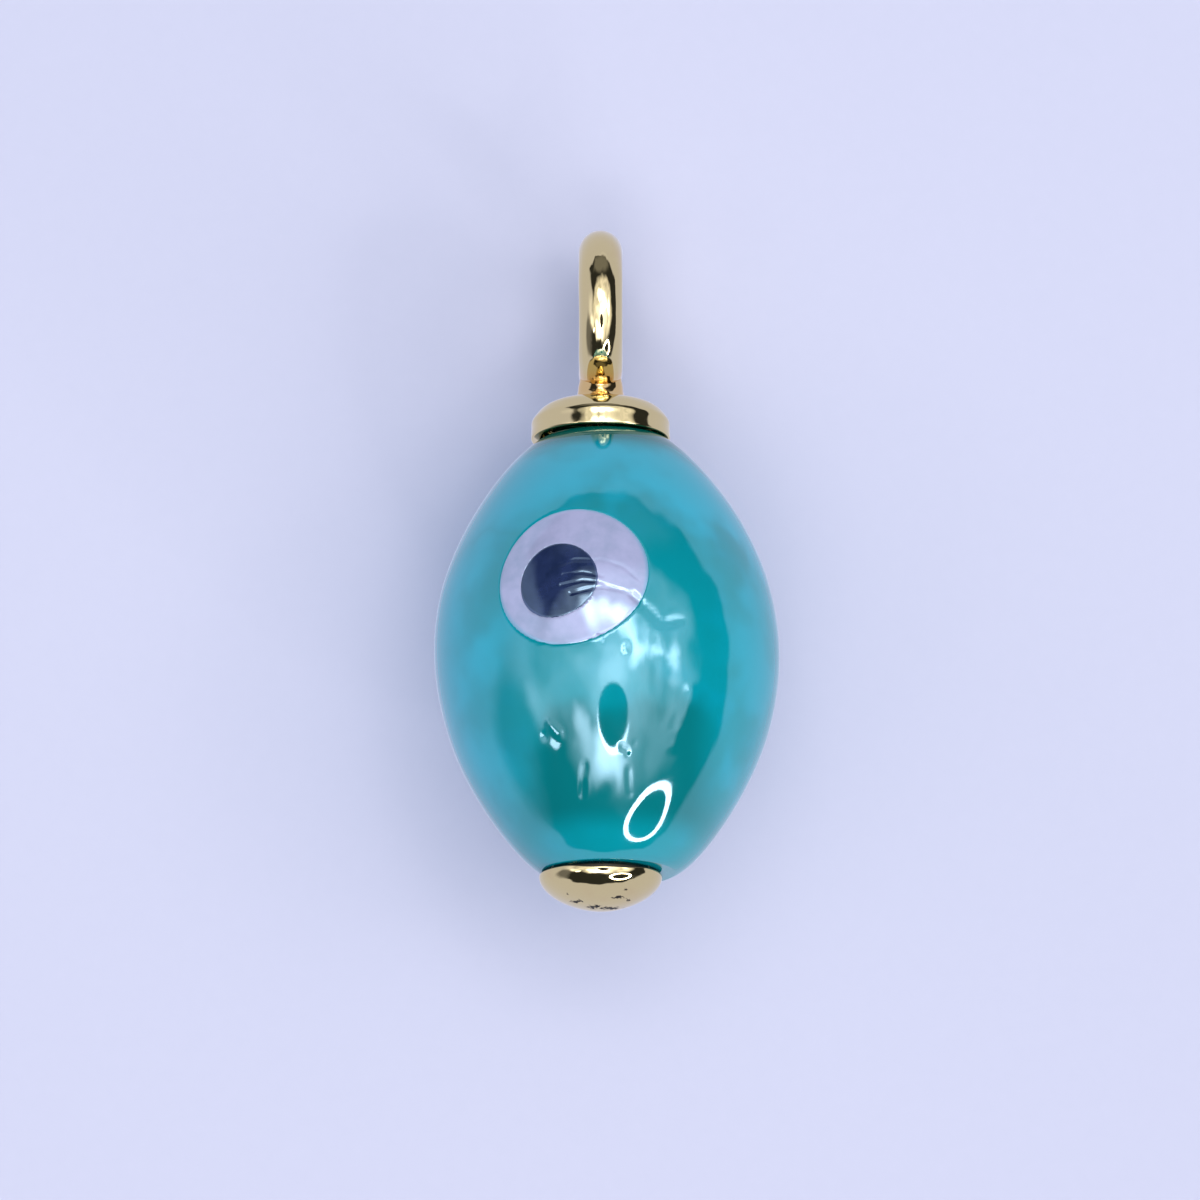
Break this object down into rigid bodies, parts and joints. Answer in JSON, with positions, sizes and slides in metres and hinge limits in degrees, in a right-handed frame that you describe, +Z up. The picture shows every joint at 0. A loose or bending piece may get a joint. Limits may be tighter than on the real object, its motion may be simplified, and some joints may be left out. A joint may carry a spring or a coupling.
{
  "type": "evil eye pendant",
  "caption": "Teal lustre glass bead with a white and navy eye dot, free to turn on a pin between two domed gold caps, under a closed round ring to hang it by.",
  "frame": {"origin": "centre of the bail's hole", "axes": "+Z up along the pin in the hanging pose, +X along the axis of the bail's hole, -Y the side that the front eye faces"},
  "size_m": [0.0121, 0.012, 0.0243],
  "materials": {
    "gold_plate": "polished pale gold plate",
    "pin_brass": "drawn wire",
    "solder": "dull solder",
    "teal_glass": "opaque glass with a pearly lustre",
    "white_glass": "opaque glass with a pearly lustre",
    "navy_glass": "opaque glass with a pearly lustre"
  },
  "bodies": {
    "fittings": {"bail_ring": "gold_plate", "bail_collar": "gold_plate", "top_cap": "gold_plate", "bottom_cap": "gold_plate", "center_pin": "pin_brass", "pin_solder": "solder"},
    "bead": {"bead_body": "teal_glass", "eye_white_front": "white_glass", "eye_pupil_front": "navy_glass", "eye_white_back": "white_glass", "eye_pupil_back": "navy_glass"}
  },
  "joints": [
    {"name": "bead_spin", "type": "hinge", "parent": "fittings", "child": "bead", "pos_m": [0, 0, -0.01226], "axis": [0, 0, 1], "continuous": true}
  ]
}
